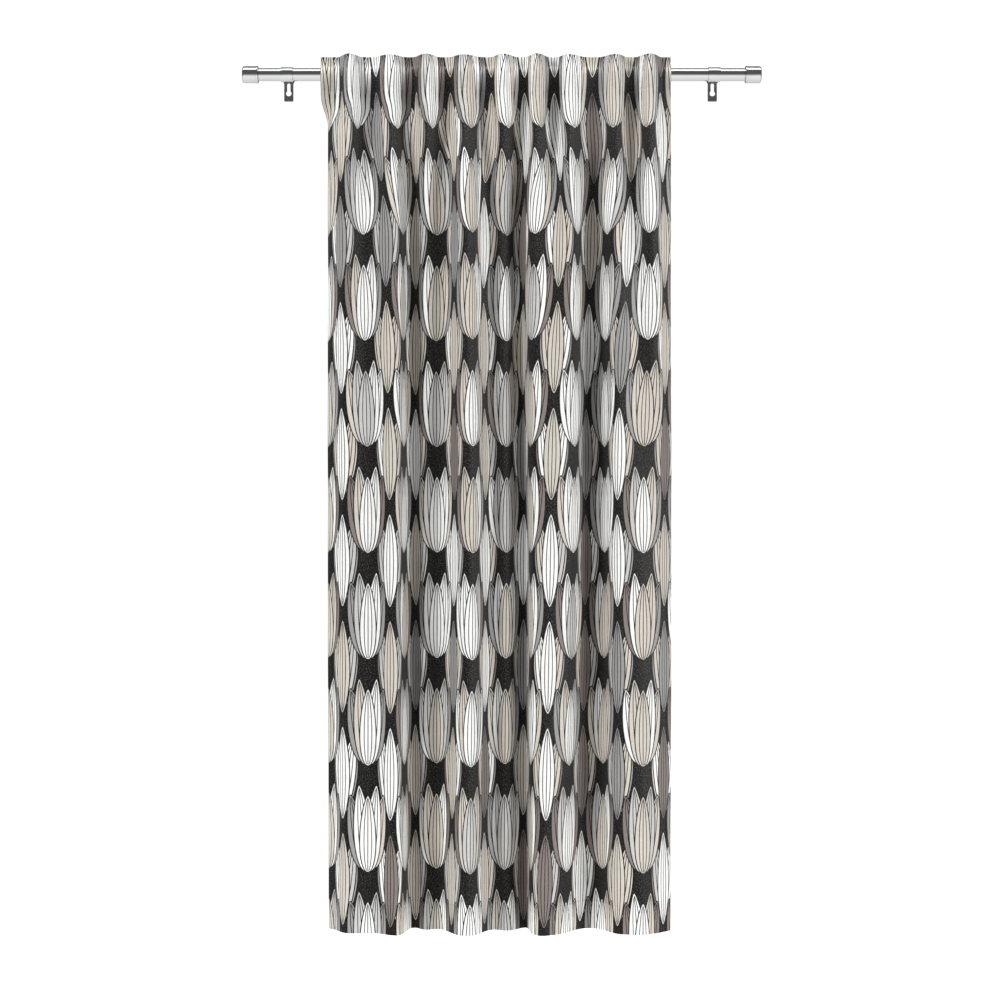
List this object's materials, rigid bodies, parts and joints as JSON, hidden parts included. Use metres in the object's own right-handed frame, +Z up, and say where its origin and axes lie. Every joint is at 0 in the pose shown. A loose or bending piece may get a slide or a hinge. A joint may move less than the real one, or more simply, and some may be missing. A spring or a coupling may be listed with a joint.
{
  "type": "hidden-tab curtain panel on a rod",
  "caption": "Single curtain panel with a hidden-tab heading, hanging in uneven folds from a plain steel rod with cylindrical end caps and keyhole wall brackets.",
  "frame": {"origin": "middle of the footprint of the whole, at the height of the cloth's foot", "axes": "+Z up along the drop; +X along the rod, to the right as seen from the room; the room side of the cloth faces -Y and the wall plates' backs face +Y"},
  "size_m": [1.428, 0.159, 2.4003],
  "materials": {
    "printed_cloth": "plain woven cotton, printed all over with pale buds and leaves on a charcoal ground",
    "plain_cloth": "plain woven charcoal cotton tape",
    "rod_steel": "bright steel, lightly brushed and polished",
    "bracket_metal": "dark grey satin"
  },
  "bodies": {
    "root": {"curtain_panel": "printed_cloth", "tab_01": "plain_cloth", "tab_02": "plain_cloth", "tab_03": "plain_cloth", "tab_04": "plain_cloth", "tab_05": "plain_cloth", "tab_06": "plain_cloth", "tab_07": "plain_cloth", "tab_08": "plain_cloth", "tab_09": "plain_cloth", "tab_10": "plain_cloth", "rod": "rod_steel", "end_cap_left": "rod_steel", "end_cap_right": "rod_steel", "saddle_left": "rod_steel", "saddle_right": "rod_steel", "wall_plate_left": "bracket_metal", "wall_plate_right": "bracket_metal"}
  },
  "joints": []
}
